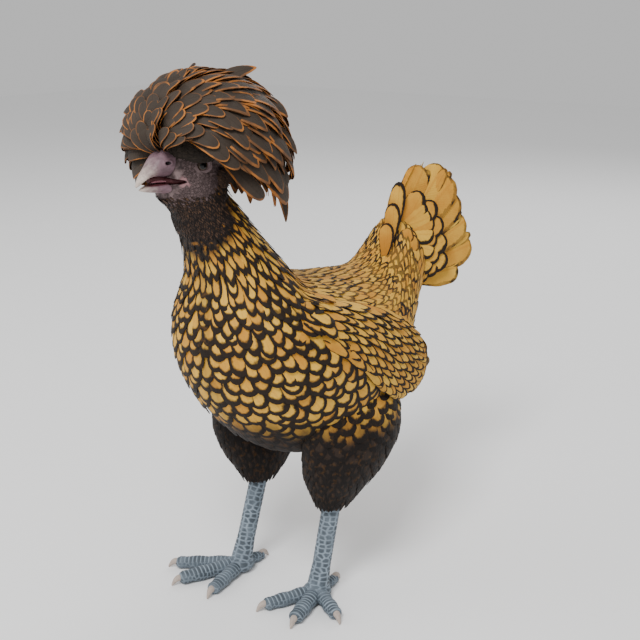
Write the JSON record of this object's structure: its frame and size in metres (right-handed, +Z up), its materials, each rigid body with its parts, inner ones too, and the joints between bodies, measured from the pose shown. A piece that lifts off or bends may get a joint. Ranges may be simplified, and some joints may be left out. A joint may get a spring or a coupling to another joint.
{
  "type": "crested hen display model",
  "caption": "Life-size still model of a standing Polish hen with a full feather crest, gold plumage laced in black and slate legs.",
  "frame": {"origin": "floor level, under the middle of the whole outline", "axes": "+Z up, the bird faces -Y, its left side is +X"},
  "size_m": [0.166, 0.3776, 0.4107],
  "materials": {
    "laced_feather": "matte",
    "dark_feather": "matte",
    "crest_feather": "satin",
    "face_skin": "matte",
    "mouth_skin": "moist satin",
    "horn": "satin horn",
    "eye": "wet gloss",
    "leg_scale": "satin scales"
  },
  "bodies": {
    "root": {"beak_lower": "horn", "beak_upper": "horn", "claw_hallux_left": "horn", "claw_hallux_right": "horn", "claw_inner_left": "horn", "claw_inner_right": "horn", "claw_middle_left": "horn", "claw_middle_right": "horn", "claw_outer_left": "horn", "claw_outer_right": "horn", "crest": "crest_feather", "ear_left": "face_skin", "ear_right": "face_skin", "eye_left": "eye", "eye_right": "eye", "foot_left": "leg_scale", "foot_right": "leg_scale", "head": "face_skin", "neck": "laced_feather", "shank_left": "leg_scale", "shank_right": "leg_scale", "tail": "laced_feather", "thigh_left": "dark_feather", "thigh_right": "dark_feather", "tongue": "mouth_skin", "torso": "laced_feather", "wing_left": "laced_feather", "wing_right": "laced_feather"}
  },
  "joints": []
}
